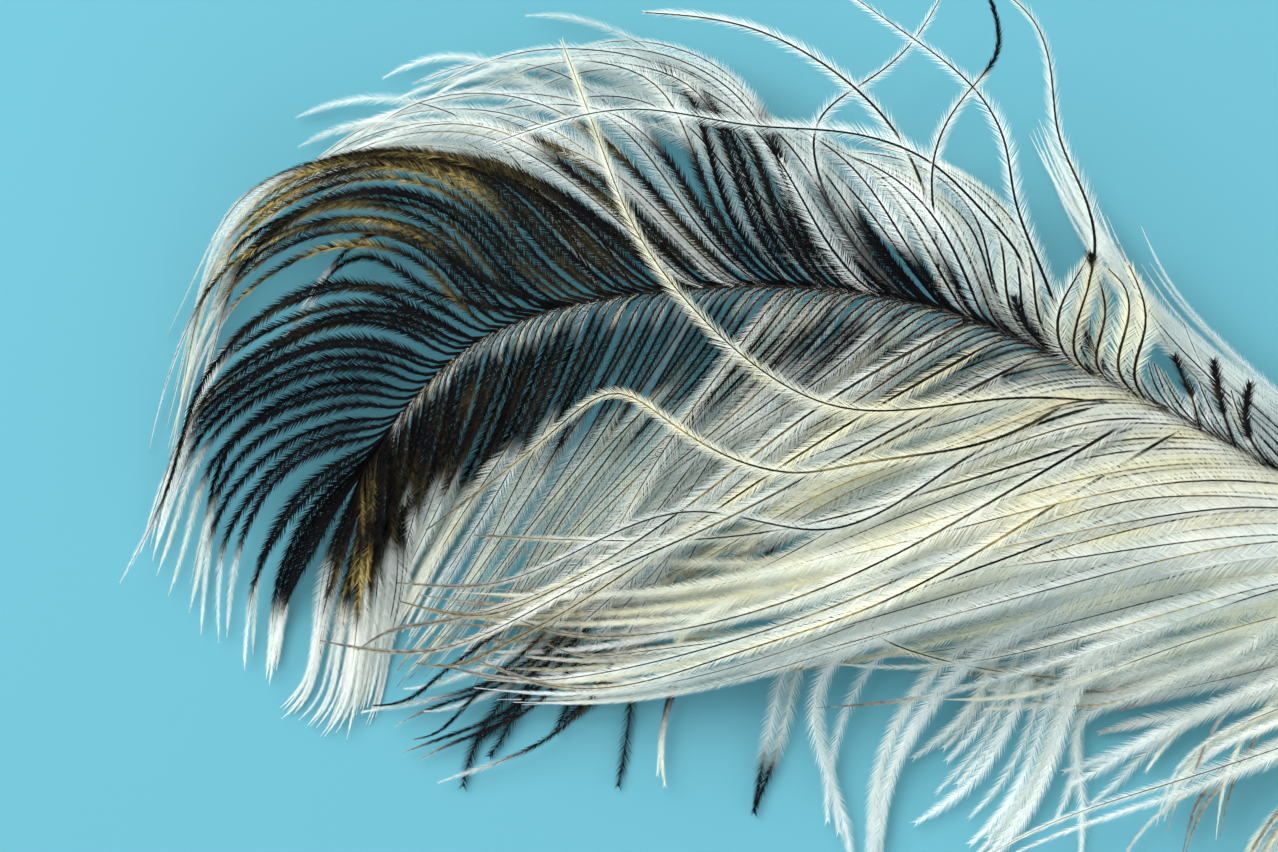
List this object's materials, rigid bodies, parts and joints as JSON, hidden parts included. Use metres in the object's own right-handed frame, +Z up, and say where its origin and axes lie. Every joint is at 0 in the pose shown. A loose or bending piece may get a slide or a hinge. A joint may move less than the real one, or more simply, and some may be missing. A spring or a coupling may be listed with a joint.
{
  "type": "ostrich feather",
  "caption": "Curved ostrich plume lying on a surface: a bare quill, a tapering arched shaft, and a soft drooping vane of loose barbs on each side; for trim, costume and display.",
  "frame": {"origin": "on the surface that the plume lies on, under the middle of its bounding box", "axes": "+X from the drooping tip to the end of the quill, +Z up from the surface, +Y across to the side of the right vane"},
  "size_m": [0.3402, 0.1562, 0.0252],
  "materials": {
    "shaft_horn": "near-black brown horn on the rachis, paler and glossier on the bare quill",
    "dark_barbs": "soft brown-black barbs with gold-brown lights and cream-white tips",
    "pale_barbs": "soft cream-white barbs with dark fine ribs, brown-black where they grow near the tip"
  },
  "bodies": {
    "root": {"shaft": "shaft_horn", "right_vane": "dark_barbs", "left_vane": "pale_barbs"}
  },
  "joints": []
}
